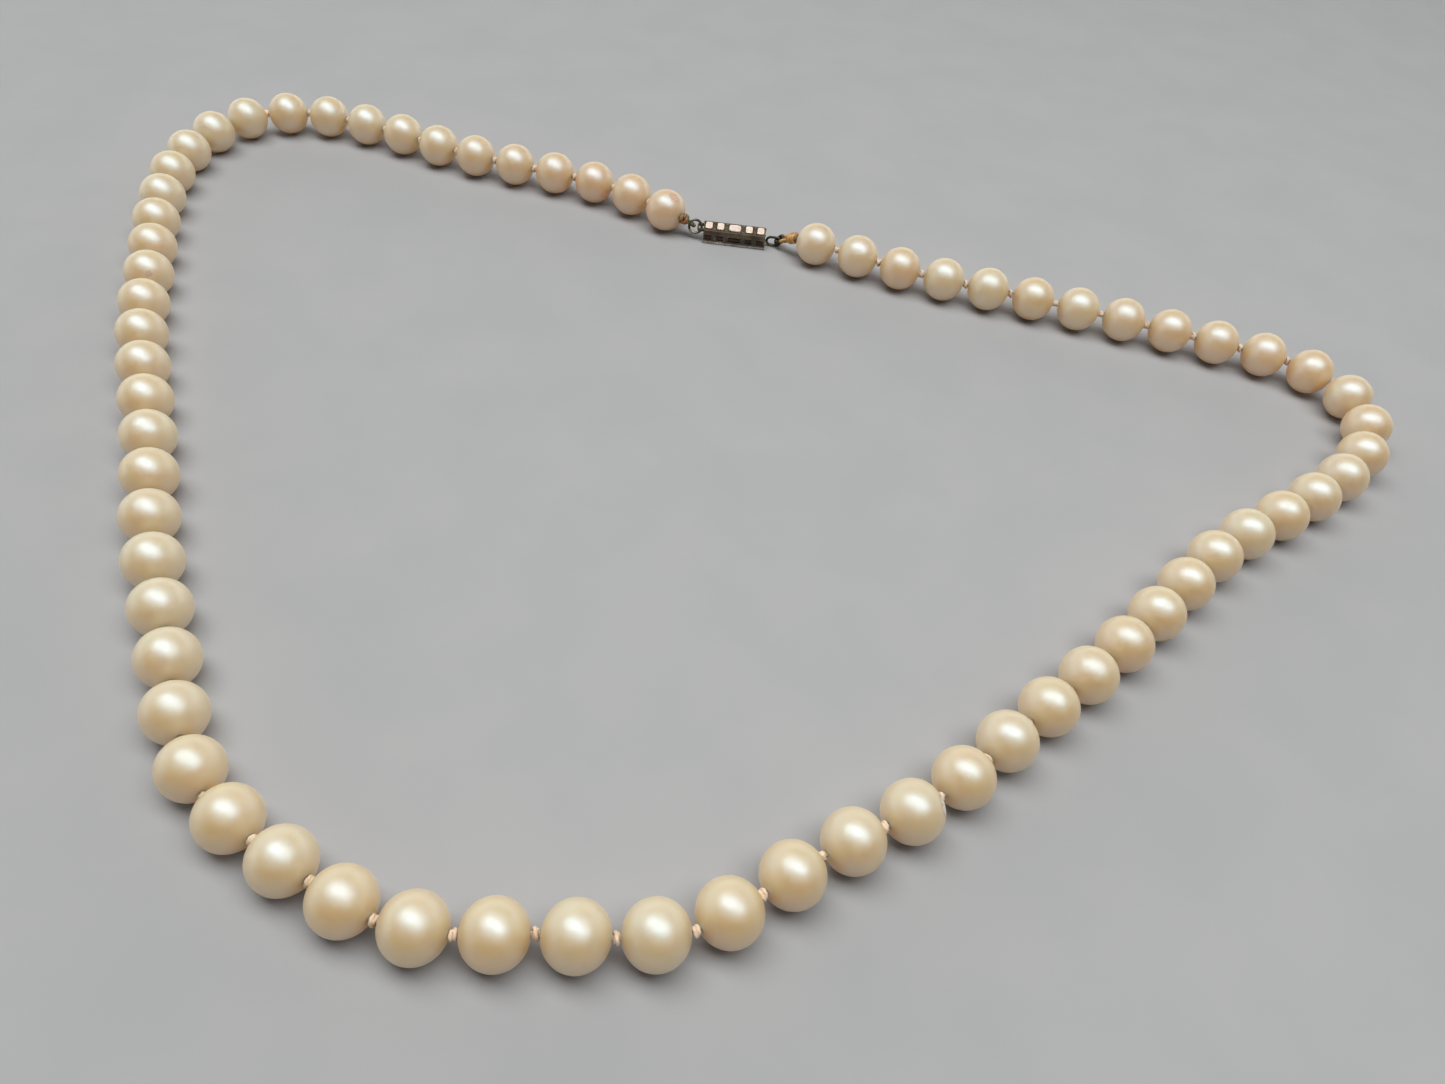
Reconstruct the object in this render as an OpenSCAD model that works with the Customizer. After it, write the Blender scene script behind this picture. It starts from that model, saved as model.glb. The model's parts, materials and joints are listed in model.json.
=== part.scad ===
// Knotted pearl necklace with a stone-set box clasp, lying on a table as an irregular loop.
// Millimetres, +Z up. X runs along the clasp, +Y points to the back of the neck.
// The origin is on the table under the middle of the whole necklace.

/* [Pearls] */
// Diameter of a pearl across its drill hole
pearl_d = 8; // [7:0.1:9]
// Length of a pearl along its drill hole, a little less than its diameter
pearl_l = 7.6; // [7.3:0.05:7.8]
// Silk left between the ends of two neighbouring pearls
knot_gap = 0.99; // [0.8:0.01:1.3]
// Diameter of the stringing silk
silk_d = 0.7; // [0.4:0.05:0.9]
// Room around the silk in the drill hole
silk_clear = 0.15; // [0.1:0.01:0.25]
// Room between a knot and the rim of a drill hole
knot_clear = 0.01; // [0.008:0.001:0.02]
// Room between a knot and the silk that turns around it
turn_clear = 0.05; // [0.03:0.01:0.1]

/* [Clasp box] */
// Length of the clasp box
box_l = 12.3; // [11:0.1:14]
// Width of the clasp box
box_w = 3.6; // [3.4:0.1:4.6]
// Height from the base plate to the top of the stone rail
box_h = 2.8; // [2.6:0.1:3.4]
// Thickness of the pierced walls
wall_t = 0.35; // [0.25:0.05:0.5]
// Thickness of the base plate
base_t = 0.4; // [0.3:0.05:0.5]
// How far the base plate stands out around the walls
base_lip = 0.1; // [0.05:0.05:0.2]
// Height of the base plate's underside above the table
clasp_lift = 0.1; // [0.05:0.05:0.3]
// Thickness of the stone rail
rail_t = 0.8; // [0.6:0.05:0.9]
// Height of a pierced window in the long walls
window_h = 1.1; // [0.6:0.05:1.2]
// How far a window stays inside each end of the stone above it
window_inset = 0.1; // [0.05:0.05:0.3]

/* [Stones] */
// Length of a small stone along the clasp
small_stone_l = 1.6; // [1.4:0.05:2]
// Length of the middle stone along the clasp
centre_stone_l = 2.65; // [2.4:0.05:3.2]
// Width of every stone across the clasp
stone_w = 2.6; // [2.4:0.1:3]
// Width of the metal bar between two stones
stone_bar = 0.72; // [0.3:0.02:0.8]
// Depth of the stones in the rail
stone_seat = 0.5; // [0.4:0.05:0.55]
// Height of the stones above the rail
stone_crown = 0.3; // [0.2:0.05:0.4]
// Slope width around the flat top of a stone
stone_facet = 0.35; // [0.25:0.05:0.5]
// Room around a stone in its seat
stone_clear = 0.03; // [0.02:0.01:0.05]

/* [Hook] */
// Length of the hook tongue inside the box
tongue_l = 7; // [6:0.1:7.4]
// Width of the hook tongue
tongue_w = 1.4; // [1.1:0.1:1.5]
// Thickness of the tongue and of its spring leaf
leaf_t = 0.25; // [0.2:0.01:0.3]
// Height of the mouth in the end wall
mouth_h = 0.95; // [0.9:0.05:1]
// Sideways room on each side of the tongue in the mouth
mouth_side = 0.5; // [0.48:0.02:0.6]
// Room between the tongue and the sill of the mouth
mouth_clear = 0.1; // [0.05:0.05:0.2]
// How far the spring leaf stands behind the end wall
catch_gap = 0.15; // [0.1:0.05:0.3]
// How far the spring leaf stands above the top of the mouth
catch_rise = 0.2; // [0.1:0.05:0.25]
// Length of the wire eye on the hook
hook_eye_l = 3.3; // [2.6:0.1:3.6]
// Height of the wire eye on the hook
hook_eye_h = 2.2; // [1.8:0.1:2.2]
// Diameter of the wire of the hook's eye
hook_wire_d = 0.5; // [0.4:0.05:0.6]

/* [Ring and gimp] */
// Outside diameter of the jump ring
ring_d = 3; // [2.8:0.1:3.4]
// Diameter of the jump ring's wire
ring_wire_d = 0.5; // [0.4:0.05:0.6]
// Height of the jump ring's centre above the table
ring_z = 2.4; // [2.2:0.1:2.5]
// How far the jump ring leans back from upright
ring_lean = 31; // [25:1:35]
// Thickness of the lug that holds the jump ring
lug_t = 0.5; // [0.4:0.05:0.6]
// Width of metal around the hole in the lug
lug_rim = 0.32; // [0.25:0.01:0.4]
// Room around the ring's wire in the lug
lug_clear = 0.25; // [0.2:0.05:0.3]
// Room for the ring to swing along the slot in the lug
lug_swing = 0.45; // [0.4:0.05:0.6]
// Diameter of the gimp, the fine coiled wire that covers the silk loops
gimp_d = 0.76; // [0.5:0.02:0.9]
// Room between the gimp and the ring or eye that it holds
gimp_clear = 0.25; // [0.22:0.01:0.3]

/* [Hidden] */

// Finish of the curved faces
$fn = 48;
// Small overlap that keeps a cut or a joint between solids clean
eps = 0.02;

// Number of pearls
pearl_count = 69;
// The step from one knot to the next
pitch = pearl_l + knot_gap;
bore_d = silk_d + 2 * silk_clear;

// Clasp heights
base_top = clasp_lift + base_t;
rail_top = clasp_lift + box_h;
rail_bottom = rail_top - rail_t;
stone_bottom = rail_top - stone_seat;

// The mouth's sill and top, and the level of the tongue and of the hook's eye
mouth_low = base_top + (rail_bottom - base_top - mouth_h) / 2;
mouth_top = mouth_low + mouth_h;
mouth_w = tongue_w + 2 * mouth_side;
tongue_low = mouth_low + mouth_clear;
eye_z = tongue_low + leaf_t;

// The jump ring hangs in the slot of its lug, and its wire's middle is on this radius
ring_r = (ring_d - ring_wire_d) / 2;
lug_hole_r = ring_wire_d / 2 + lug_clear;
lug_hole_x = -box_l / 2 - lug_hole_r;
ring_x = lug_hole_x - ring_r;

// The wire eye starts at the end wall, with this radius at its round ends
eye_r = (hook_eye_h - hook_wire_d) / 2;
eye_start = box_l / 2 + mouth_clear;
eye_end = eye_start + hook_eye_l;

// The tongue starts at the round fold of its spring leaf, inside the box
tongue_start = box_l / 2 - wall_t - tongue_l;
fold_r = leaf_t;

// The first and the last knot, from the ring's wire and from the end of the wire eye.
// The strand leaves the left of the clasp almost straight, and droops away from its right.
left_gimp_reach = 1.3;
left_droop = 0.2;
right_gimp_reach = 2.45;
right_droop = 2.5;
left_end = [ring_x - ring_r - left_gimp_reach, -left_droop];
right_end = [eye_end + right_gimp_reach, -right_droop];

// The strand's route from the left of the clasp round to its right, at its drawn length
ROUTE = [
    [-10.5, 0], [-25.5, 8.5], [-42, 12], [-58.5, 15], [-74.5, 20.5], [-91, 23.5],
    [-100, 21.5], [-106.5, 15], [-109, 6], [-109.5, -3], [-106, -19.5], [-100.5, -35],
    [-95, -51.5], [-87.5, -67.5], [-80, -83], [-73, -99], [-64.5, -114], [-56.5, -129],
    [-50.5, -135.5], [-42.5, -140], [-27, -147], [-11, -146], [5, -144], [18, -134],
    [32.5, -124.5], [44.5, -112.5], [57, -100.5], [68.5, -88], [80, -75], [94, -64.5],
    [107, -53], [112, -46], [114, -38], [112, -30.5], [105.5, -25], [96, -22],
    [62, -14.5], [37, -10], [12.5, -2.5]
];
last = len(ROUTE) - 1;
// Points over which a moved end fades into the rest of the route
fade = 6;
// Curve steps between two points of the route
steps = 12;

// The route grown by one factor, with its two ends moved to the clasp
function near_start(i) = max(0, 1 - i / fade);
function near_finish(i) = max(0, 1 - (last - i) / fade);
function fitted(k) = [
    for (i = [0 : last])
        k * ROUTE[i] + near_start(i) * (left_end - k * ROUTE[0])
            + near_finish(i) * (right_end - k * ROUTE[last])
];

// A smooth curve through the points: each span is a cubic with tangents along its neighbours' chord
function unit(v) = v / norm(v);
function tangent(p, i) = unit(p[min(i + 1, last)] - p[max(i - 1, 0)]);
function span_point(p, i, t) =
    let (reach = norm(p[i + 1] - p[i]))
    (2 * t ^ 3 - 3 * t ^ 2 + 1) * p[i] + (t ^ 3 - 2 * t ^ 2 + t) * reach * tangent(p, i)
        + (3 * t ^ 2 - 2 * t ^ 3) * p[i + 1] + (t ^ 3 - t ^ 2) * reach * tangent(p, i + 1);
function curve(p) = concat(
    [for (i = [0 : last - 1]) for (j = [0 : steps - 1]) span_point(p, i, j / steps)],
    [p[last]]
);
function travelled(c) = [
    for (i = 0, s = 0; i < len(c); i = i + 1, s = i < len(c) ? s + norm(c[i] - c[i - 1]) : s) s
];
function length_of(c) = travelled(c)[len(c) - 1];

// The route is drawn for this length of strand, and two rounds bring it to the pearls' own
route_l = 592.7;
strand_l = pearl_count * pitch;
grow_0 = strand_l / route_l;
grow_1 = grow_0 * strand_l / length_of(curve(fitted(grow_0)));
grow_2 = grow_1 * strand_l / length_of(curve(fitted(grow_1)));
strand_curve = curve(fitted(grow_2));
strand_s = travelled(strand_curve);
strand_total = strand_s[len(strand_s) - 1];
x_along = [for (i = [0 : len(strand_s) - 1]) [strand_s[i], strand_curve[i][0]]];
y_along = [for (i = [0 : len(strand_s) - 1]) [strand_s[i], strand_curve[i][1]]];

// Knot 0 is at the left of the clasp, and pearl i hangs between knots i and i + 1
KNOTS = [
    for (i = [0 : pearl_count])
        let (s = strand_total * i / pearl_count) [lookup(s, x_along), lookup(s, y_along)]
];
function pearl_centre(i) = (KNOTS[i] + KNOTS[i + 1]) / 2;
function pearl_turn(i) = let (d = KNOTS[i + 1] - KNOTS[i]) atan2(d[1], d[0]);
smallest_gap = min([for (i = [0 : pearl_count - 1]) norm(KNOTS[i + 1] - KNOTS[i])]) - pearl_l;
knot_d = 2 * (sqrt((smallest_gap / 2) ^ 2 + (bore_d / 2) ^ 2) - knot_clear);
silk_z = pearl_d / 2;

// The middle of the whole necklace, which becomes the origin
xs = [for (i = [0 : pearl_count - 1]) pearl_centre(i)[0]];
ys = [for (i = [0 : pearl_count - 1]) pearl_centre(i)[1]];
middle = [(min(xs) + max(xs)) / 2, (min(ys) + max(ys)) / 2, 0];

// Knots that the folding strips turn on, from the back to the front: [left, right]
FOLDS = [[19, 55], [21, 53], [23, 50], [25, 48], [27, 45], [29, 42], [31, 40]];
// Knots that the clasp's opening turns on, from the corner to the hook
OPENING = [57, 62, 63, 68];

// Colours
pearl_colour = [0.87, 0.79, 0.68];
silk_colour = [0.86, 0.79, 0.66];
metal_colour = [0.33, 0.3, 0.26];
bright_colour = [0.6, 0.58, 0.54];
stone_colour = [0.93, 0.84, 0.8];
gimp_colour = [0.55, 0.4, 0.2];

module from_middle() {
    translate(-middle) children();
}

// A straight round bar from one point to another
module bar(a, b, d) {
    v = b - a;
    translate(a)
        rotate([0, acos(v[2] / norm(v)), atan2(v[1], v[0])])
            cylinder(h = norm(v), d = d);
}

// One pearl: a ball that is a little short along its drill hole, turned around X
module pearl() {
    rotate([0, 90, 0])
        rotate_extrude()
            intersection() {
                translate([(pearl_d - pearl_l) / 2, 0]) circle(d = pearl_l);
                translate([bore_d / 2, -pearl_l / 2]) square([pearl_d, pearl_l]);
            }
}

// The pearls between two knots
module pearls(from, to) {
    color(pearl_colour) from_middle()
        for (i = [from : to - 1])
            translate([pearl_centre(i)[0], pearl_centre(i)[1], silk_z])
                rotate([0, 0, pearl_turn(i)]) pearl();
}

function knot_point(i) = [KNOTS[i][0], KNOTS[i][1], silk_z];
// A point at a distance from knot i on the way to knot j
function towards(i, j, distance) =
    knot_point(i) + unit(knot_point(j) - knot_point(i)) * distance;
// Silk starts inside its own knots, and clear of a knot that it turns around
silk_root = knot_d / 6;
silk_stop = knot_d / 2 + turn_clear;

// A knot is a ball whose axis runs along the strand
module silk_knot(i) {
    along = KNOTS[min(i + 1, pearl_count)] - KNOTS[max(i - 1, 0)];
    translate(knot_point(i)) rotate([0, 90, atan2(along[1], along[0])]) rotate([0, 0, 90])
        sphere(d = knot_d);
}

// The silk between two knots, with a knot at every gap. Where a run hangs on a knot of the
// next run, free_start or free_end leaves that knot out and stops the silk just short of it.
module silk_run(from, to, free_start, free_end) {
    union() {
        for (i = [from : to - 1])
            bar(
                towards(i, i + 1, i == from && free_start ? silk_stop : silk_root),
                towards(i + 1, i, i + 1 == to && free_end ? silk_stop : silk_root),
                silk_d
            );
        for (i = [from : to])
            if (!(i == from && free_start) && !(i == to && free_end))
                silk_knot(i);
    }
}

module silk(from, to, free_start, free_end) {
    color(silk_colour) from_middle() silk_run(from, to, free_start, free_end);
}

// Strip n of the folding part hangs on the knots of FOLDS[n - 1] and carries those of FOLDS[n]
module left_pearls(n) pearls(FOLDS[n - 1][0], FOLDS[n][0]);
module left_silk(n) silk(FOLDS[n - 1][0], FOLDS[n][0], true, false);
module right_pearls(n) pearls(FOLDS[n][1], FOLDS[n - 1][1]);
module right_silk(n) silk(FOLDS[n][1], FOLDS[n - 1][1], false, true);

module back_pearls() pearls(0, FOLDS[0][0]);
module back_silk() silk(0, FOLDS[0][0], false, false);
module corner_pearls() pearls(FOLDS[0][1], OPENING[0]);
module corner_silk() silk(FOLDS[0][1], OPENING[0], false, false);
module front_pearls() pearls(FOLDS[6][0], FOLDS[6][1]);
module front_silk() silk(FOLDS[6][0], FOLDS[6][1], true, true);

module arm_a_pearls() pearls(OPENING[0], OPENING[1]);
module arm_a_silk() silk(OPENING[0], OPENING[1], true, false);
module link_pearl() pearls(OPENING[1], OPENING[2]);
module link_silk() silk(OPENING[1], OPENING[2], true, false);
module arm_b_pearls() pearls(OPENING[2], OPENING[3]);
module arm_b_silk() silk(OPENING[2], OPENING[3], true, false);
module end_pearl() pearls(OPENING[3], pearl_count);
module end_silk() silk(OPENING[3], pearl_count, true, false);

// The stones from left to right: [place along the clasp, length]
stone_step = (small_stone_l + stone_bar);
first_step = (centre_stone_l + small_stone_l) / 2 + stone_bar;
SMALL_AT = [-first_step - stone_step, -first_step, first_step, first_step + stone_step];

// Blocks centred along X and Y, standing on z
module block(l, w, z, h) {
    translate([-l / 2, -w / 2, z]) cube([l, w, h]);
}

module clasp_base_plate() {
    color(bright_colour) from_middle()
        block(box_l + 2 * base_lip, box_w + 2 * base_lip, clasp_lift, base_t);
}

// The four walls, pierced by a window under every stone and by the mouth in the right end
module clasp_gallery() {
    wall_h = rail_bottom - base_top;
    window_z = base_top + (wall_h - window_h) / 2;
    color(metal_colour) from_middle()
        difference() {
            block(box_l, box_w, base_top, wall_h);
            block(box_l - 2 * wall_t, box_w - 2 * wall_t, base_top - eps, wall_h + 2 * eps);
            for (x = SMALL_AT)
                translate([x, 0, 0])
                    block(small_stone_l - 2 * window_inset, 2 * box_w, window_z, window_h);
            block(centre_stone_l - 2 * window_inset, 2 * box_w, window_z, window_h);
            translate([box_l / 2, 0, 0]) block(4 * wall_t, mouth_w, mouth_low, mouth_h);
        }
}

// A seat for a stone of length l
module seat(l) {
    block(l + 2 * stone_clear, stone_w + 2 * stone_clear, stone_bottom, rail_t);
}

module stone_rail() {
    color(metal_colour) from_middle()
        difference() {
            block(box_l, box_w, rail_bottom, rail_t);
            for (x = SMALL_AT) translate([x, 0, 0]) seat(small_stone_l);
            seat(centre_stone_l);
        }
}

// A step-cut stone of length l: a block with its upper edges sloped towards a flat top
module stone(l) {
    h = stone_seat + stone_crown;
    top = stone_bottom + h;
    slope = atan2(stone_crown, stone_facet);
    reach = 2 * stone_w;
    difference() {
        block(l, stone_w, stone_bottom, h);
        for (side = [-1, 1]) {
            translate([side * (l / 2 - stone_facet), 0, top])
                rotate([0, side * slope, 0])
                    translate([side > 0 ? 0 : -reach, -reach / 2, 0]) cube([reach, reach, reach]);
            translate([0, side * (stone_w / 2 - stone_facet), top])
                rotate([-side * slope, 0, 0])
                    translate([-reach / 2, side > 0 ? 0 : -reach, 0]) cube([reach, reach, reach]);
        }
    }
}

module small_stones() {
    color(stone_colour) from_middle()
        for (x = SMALL_AT) translate([x, 0, 0]) stone(small_stone_l);
}

module centre_stone() {
    color(stone_colour) from_middle() stone(centre_stone_l);
}

// A slot across the clasp with round ends, for the lug and for the hole in it
module slot_bar(r, h) {
    for (side = [-1, 1])
        translate([lug_hole_x, side * lug_swing, ring_z - h / 2]) cylinder(r = r, h = h);
    translate([lug_hole_x - r, -lug_swing, ring_z - h / 2]) cube([2 * r, 2 * lug_swing, h]);
}

// The lug is soldered to the left end of the box, and the jump ring swings in its slot
module ring_lug() {
    lug_r = lug_hole_r + lug_rim;
    color(metal_colour) from_middle()
        difference() {
            slot_bar(lug_r, lug_t);
            slot_bar(lug_hole_r, 2 * lug_t);
            translate([-box_l / 2, -box_w, 0]) cube([2 * lug_r, 2 * box_w, 2 * rail_top]);
        }
}

module jump_ring() {
    color(metal_colour) from_middle()
        translate([ring_x, 0, ring_z])
            rotate([90 - ring_lean, 0, 0])
                rotate_extrude() translate([ring_r, 0]) circle(d = ring_wire_d);
}

// A loop of gimp with straight sides and round ends, square to the round wire that it holds.
// The wire bends around centre with radius r, across is square to its plane, and the gimp pulls
// on it from its nearest point to the knot at the end of the silk.
module gimp_loop(centre, r, across, knot, wire_d) {
    pull = knot - centre;
    hold = centre + r * unit(pull - (pull * across) * across);
    e = unit(knot - hold);
    n = unit(cross(across, hold - centre));
    s = cross(n, e);
    turn_r = gimp_d / 2 + gimp_clear + wire_d / 2;
    side_l = norm(knot - hold) - turn_r - gimp_d / 2 - knot_d / 2 - turn_clear;
    color(gimp_colour) from_middle()
        multmatrix([
            [s[0], -e[0], n[0], hold[0]],
            [s[1], -e[1], n[1], hold[1]],
            [s[2], -e[2], n[2], hold[2]],
            [0, 0, 0, 1]
        ])
            union() {
                rotate_extrude(angle = 180) translate([turn_r, 0]) circle(d = gimp_d);
                translate([0, -side_l, 0]) rotate([0, 0, 180])
                    rotate_extrude(angle = 180) translate([turn_r, 0]) circle(d = gimp_d);
                for (side = [-1, 1])
                    bar([side * turn_r, 0, 0], [side * turn_r, -side_l, 0], gimp_d);
            }
}

module left_gimp() {
    across = [0, -cos(ring_lean), sin(ring_lean)];
    gimp_loop([ring_x, 0, ring_z], ring_r, across, knot_point(0), ring_wire_d);
}

module right_gimp() {
    centre = [eye_end - hook_eye_h / 2, 0, eye_z];
    gimp_loop(centre, eye_r, [0, -1, 0], knot_point(pearl_count), hook_wire_d);
}

// The tongue runs through the mouth, from the fold of the spring to the wire eye
module hook_tongue() {
    color(bright_colour) from_middle()
        translate([tongue_start, -tongue_w / 2, tongue_low])
            cube([eye_start - tongue_start, tongue_w, leaf_t]);
}

// The spring leaf is folded back over the tongue, and its free end catches behind the end wall
module hook_spring() {
    leaf_end = box_l / 2 - wall_t - catch_gap;
    rise = mouth_top + catch_rise - leaf_t - (tongue_low + leaf_t);
    run = leaf_end - tongue_start;
    climb = atan2(rise, run);
    color(bright_colour) from_middle()
        difference() {
            union() {
                translate([tongue_start, -tongue_w / 2, tongue_low + leaf_t])
                    rotate([0, -climb, 0])
                        cube([norm([run, rise]) - leaf_t * sin(climb), tongue_w, leaf_t]);
                translate([tongue_start, tongue_w / 2, tongue_low + leaf_t])
                    rotate([90, 0, 0]) cylinder(h = tongue_w, r = fold_r);
            }
            translate([tongue_start, -tongue_w, tongue_low])
                cube([run, 2 * tongue_w, leaf_t]);
        }
}

// A flat loop of wire in the upright plane, soldered to the end of the tongue
module hook_eye() {
    left = eye_start + hook_eye_h / 2;
    right = eye_end - hook_eye_h / 2;
    color(metal_colour) from_middle()
        translate([0, 0, eye_z])
            rotate([90, 0, 0])
                union() {
                    translate([right, 0, 0]) rotate([0, 0, -90])
                        rotate_extrude(angle = 180) translate([eye_r, 0]) circle(d = hook_wire_d);
                    translate([left, 0, 0]) rotate([0, 0, 90])
                        rotate_extrude(angle = 180) translate([eye_r, 0]) circle(d = hook_wire_d);
                    for (side = [-1, 1])
                        bar([left, side * eye_r, 0], [right, side * eye_r, 0], hook_wire_d);
                }
}

back_pearls();
back_silk();
corner_pearls();
corner_silk();
left_pearls(1);  // left_pearls_1
left_silk(1);  // left_silk_1
right_pearls(1);  // right_pearls_1
right_silk(1);  // right_silk_1
left_pearls(2);  // left_pearls_2
left_silk(2);  // left_silk_2
right_pearls(2);  // right_pearls_2
right_silk(2);  // right_silk_2
left_pearls(3);  // left_pearls_3
left_silk(3);  // left_silk_3
right_pearls(3);  // right_pearls_3
right_silk(3);  // right_silk_3
left_pearls(4);  // left_pearls_4
left_silk(4);  // left_silk_4
right_pearls(4);  // right_pearls_4
right_silk(4);  // right_silk_4
left_pearls(5);  // left_pearls_5
left_silk(5);  // left_silk_5
right_pearls(5);  // right_pearls_5
right_silk(5);  // right_silk_5
left_pearls(6);  // left_pearls_6
left_silk(6);  // left_silk_6
right_pearls(6);  // right_pearls_6
right_silk(6);  // right_silk_6
front_pearls();
front_silk();
arm_a_pearls();
arm_a_silk();
link_pearl();
link_silk();
arm_b_pearls();
arm_b_silk();
end_pearl();
end_silk();
clasp_base_plate();
clasp_gallery();
stone_rail();
small_stones();
centre_stone();
ring_lug();
jump_ring();
left_gimp();
hook_tongue();
hook_spring();
hook_eye();
right_gimp();
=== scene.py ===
"""Looks of a knotted pearl necklace with a stone-set box clasp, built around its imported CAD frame.

Lengths are written in millimetres and turned into metres by MM. The strand lies in the XY plane,
and its pearls and knots are found from the CAD nodes, so the looks follow the frame.
"""

import json
import math
import random

import bmesh
import bpy
import numpy as np
from mathutils import Matrix, Vector


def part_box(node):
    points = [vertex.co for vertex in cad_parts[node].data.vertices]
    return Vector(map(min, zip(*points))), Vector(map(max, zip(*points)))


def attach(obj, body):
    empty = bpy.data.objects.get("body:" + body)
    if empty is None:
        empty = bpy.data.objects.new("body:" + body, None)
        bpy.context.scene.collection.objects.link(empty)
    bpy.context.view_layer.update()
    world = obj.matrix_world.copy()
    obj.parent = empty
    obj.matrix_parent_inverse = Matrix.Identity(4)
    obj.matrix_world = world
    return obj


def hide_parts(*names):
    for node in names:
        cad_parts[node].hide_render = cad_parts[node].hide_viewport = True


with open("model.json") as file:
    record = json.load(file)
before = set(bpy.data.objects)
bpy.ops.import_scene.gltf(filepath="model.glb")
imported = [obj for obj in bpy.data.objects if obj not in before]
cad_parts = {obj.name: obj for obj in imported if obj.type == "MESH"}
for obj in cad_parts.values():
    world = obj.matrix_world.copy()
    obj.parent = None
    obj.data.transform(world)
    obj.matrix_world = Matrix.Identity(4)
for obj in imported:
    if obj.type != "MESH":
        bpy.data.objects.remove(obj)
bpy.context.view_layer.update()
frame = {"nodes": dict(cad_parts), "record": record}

MM = 0.001
NODES = frame["nodes"]
BODY_OF = {n: b for b, ns in frame["record"]["behaviour"]["bodies"].items() for n in ns}
Z_AXIS = (0.0, 0.0, 1.0)
WELD = 1e-6  # in metres: the points of a CAD mesh that lie closer are one point


def linear(r, g, b):
    """A colour given as 8-bit sRGB, as the shader's linear numbers."""

    def channel(c):
        return c / 12.92 if c <= 0.04045 else ((c + 0.055) / 1.055) ** 2.4

    return (channel(r / 255), channel(g / 255), channel(b / 255), 1.0)


def turn(degrees, axis):
    return Matrix.Rotation(math.radians(degrees), 4, axis)


class Nodes:
    """A node tree, of a material or the world, that is built by short calls."""

    def __init__(self, owner):
        owner.use_nodes = True
        self.tree = owner.node_tree

    def put(self, node, socket, value):
        """Sets a socket to a value, or links it to another node's output."""
        target = node.inputs[socket]
        if isinstance(value, bpy.types.NodeSocket):
            self.tree.links.new(value, target)
        else:
            target.default_value = value

    def node(self, kind, inputs=(), **settings):
        made = self.tree.nodes.new("ShaderNode" + kind)
        for name, value in settings.items():
            setattr(made, name, value)
        for socket, value in dict(inputs).items():
            self.put(made, socket, value)
        return made

    def math(self, operation, a, b):
        return self.node("Math", {0: a, 1: b}, operation=operation).outputs[0]

    def span(self, value, low, high, to_low=0.0, to_high=1.0):
        """value, spread smoothly from low..high to to_low..to_high."""
        made = self.node(
            "MapRange",
            {"Value": value, "From Min": low, "From Max": high,
             "To Min": to_low, "To Max": to_high},
            interpolation_type="SMOOTHSTEP",
        )
        return made.outputs["Result"]


# ---------------------------------------------------------------------------------------------
# Camera, light and table
# ---------------------------------------------------------------------------------------------

CAMERA_AT = (-0.449, -131.452, 118.378)
CAMERA_PITCH = 46.85  # degrees below the horizon
CAMERA_ROLL = 7.555
CAMERA_HEADING = -1.25
CAMERA_LENS = 27.15
CAMERA_SENSOR = 36
CAMERA_NEAR, CAMERA_FAR = 5, 10000

LAMP_AT, LAMP_AIM = (30, -30, 800), (30, -30, 0)
LAMP_SIZE = (1300, 480)
LAMP_TURN = -20
LAMP_POWER = 9.2
LAMP_COLOUR = (0.98, 0.98, 1.0)

WALL_LIGHT = 1.65
ROOM_LIGHT = 0.035
ROOM_TURN = -18

TABLE_HALF = 2500


def make_camera():
    data = bpy.data.cameras.new("camera")
    data.lens = CAMERA_LENS
    data.sensor_width = CAMERA_SENSOR
    data.clip_start, data.clip_end = CAMERA_NEAR * MM, CAMERA_FAR * MM
    camera = bpy.data.objects.new("camera", data)
    bpy.context.scene.collection.objects.link(camera)
    camera.matrix_world = (
        Matrix.Translation(Vector(CAMERA_AT) * MM)
        @ turn(CAMERA_HEADING, "Z")
        @ turn(90 - CAMERA_PITCH, "X")
        @ turn(CAMERA_ROLL, "Z")
    )
    bpy.context.scene.camera = camera


def make_lamp():
    """One broad soft lamp overhead."""
    data = bpy.data.lights.new("overhead", "AREA")
    data.shape = "RECTANGLE"
    data.size, data.size_y = LAMP_SIZE[0] * MM, LAMP_SIZE[1] * MM
    data.energy = LAMP_POWER
    data.color = LAMP_COLOUR
    lamp = bpy.data.objects.new("overhead", data)
    bpy.context.scene.collection.objects.link(lamp)
    look = (Vector(LAMP_AIM) - Vector(LAMP_AT)).to_track_quat("-Z", "Y").to_matrix().to_4x4()
    lamp.matrix_world = Matrix.Translation(Vector(LAMP_AT) * MM) @ look @ turn(LAMP_TURN, "Z")


def make_room():
    """A dim room whose walls are lighter low down, on every side but the near one."""
    world = bpy.data.worlds.new("studio")
    bpy.context.scene.world = world
    room = Nodes(world)
    where = room.node("TexCoord").outputs["Generated"]
    turned = room.node("Mapping", {"Vector": where, "Rotation": (0, 0, math.radians(ROOM_TURN))})
    towards = room.node("SeparateXYZ", {"Vector": turned.outputs[0]})
    low_down = room.span(towards.outputs["Z"], 0.1, 0.6, 1.0, 0.0)
    far_side = room.span(towards.outputs["Y"], -0.5, 0.4)
    walls = room.math("MULTIPLY", low_down, far_side)
    light = room.node("Math", {0: walls, 1: WALL_LIGHT, 2: ROOM_LIGHT}, operation="MULTIPLY_ADD")
    background = room.tree.nodes["Background"]
    room.put(background, "Color", (1, 1, 1, 1))
    room.put(background, "Strength", light.outputs[0])


def make_table(material):
    side = TABLE_HALF * MM
    mesh = bpy.data.meshes.new("table")
    corners = [(-side, -side, 0), (side, -side, 0), (side, side, 0), (-side, side, 0)]
    mesh.from_pydata(corners, [], [[0, 1, 2, 3]])
    mesh.materials.append(material)
    table = bpy.data.objects.new("table", mesh)
    bpy.context.scene.collection.objects.link(table)


# ---------------------------------------------------------------------------------------------
# Node materials
# ---------------------------------------------------------------------------------------------


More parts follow.
